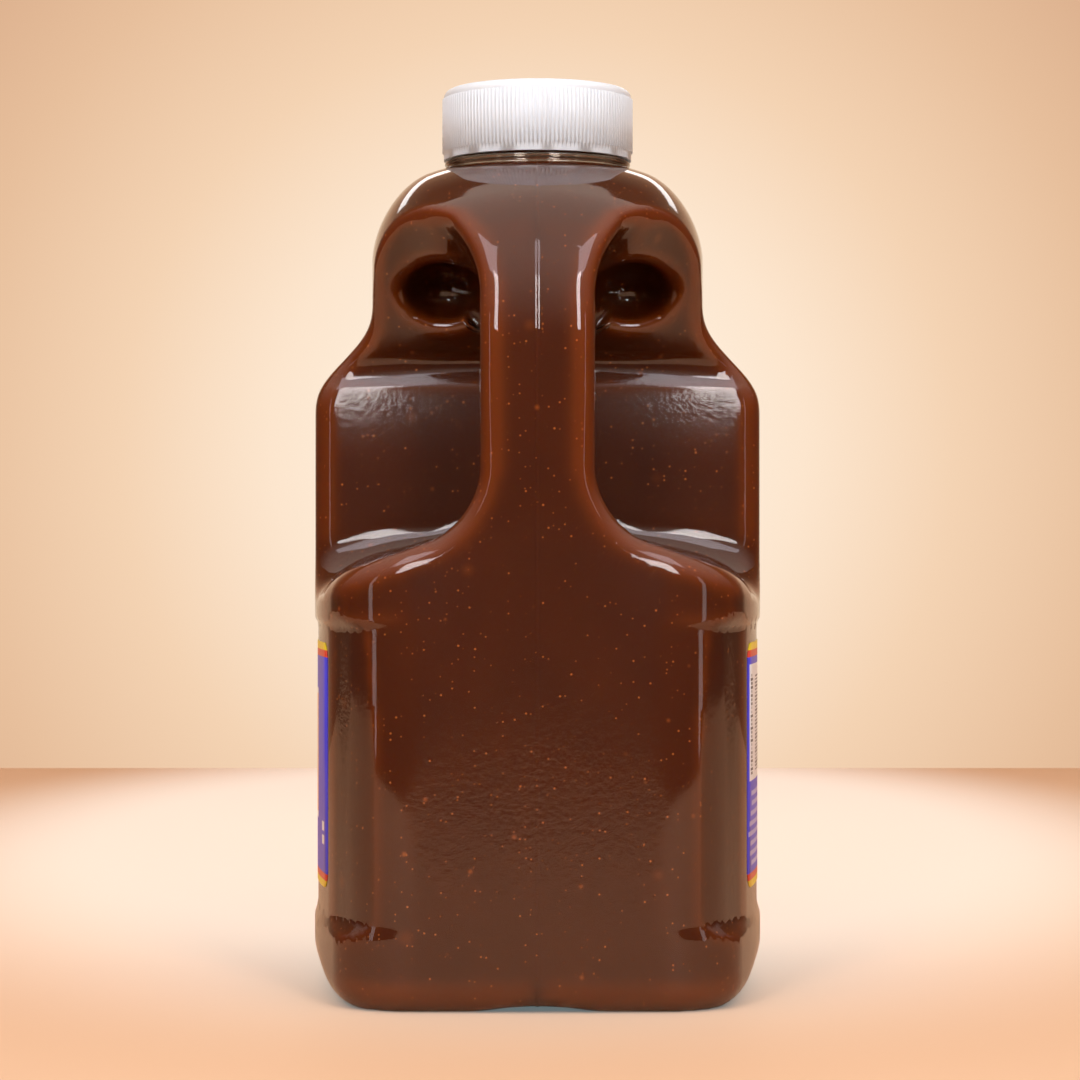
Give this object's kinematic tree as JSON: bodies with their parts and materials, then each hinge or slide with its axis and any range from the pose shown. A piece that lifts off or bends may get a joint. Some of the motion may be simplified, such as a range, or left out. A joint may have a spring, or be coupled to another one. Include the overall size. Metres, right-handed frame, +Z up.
{
  "type": "brown sauce jug",
  "caption": "Tall rectangular blow-moulded jug of brown sauce with a through handle in its narrow front edge and a ribbed white screw cap.",
  "frame": {"origin": "centre of the jug's bounding box on the surface it stands on", "axes": "+Z up, -Y towards the narrow edge with the handle, +X to the right as seen from that edge"},
  "size_m": [0.1192, 0.14, 0.239],
  "materials": {
    "clear_plastic": "glossy clear moulded polyester",
    "sauce": "opaque dark brown sauce",
    "cap_plastic": "white moulded polypropylene, satin",
    "label_film": null
  },
  "bodies": {
    "root": {"bottle": "clear_plastic", "sauce": "sauce", "cap": "cap_plastic", "label_left": "label_film", "label_right": "label_film"}
  },
  "joints": []
}
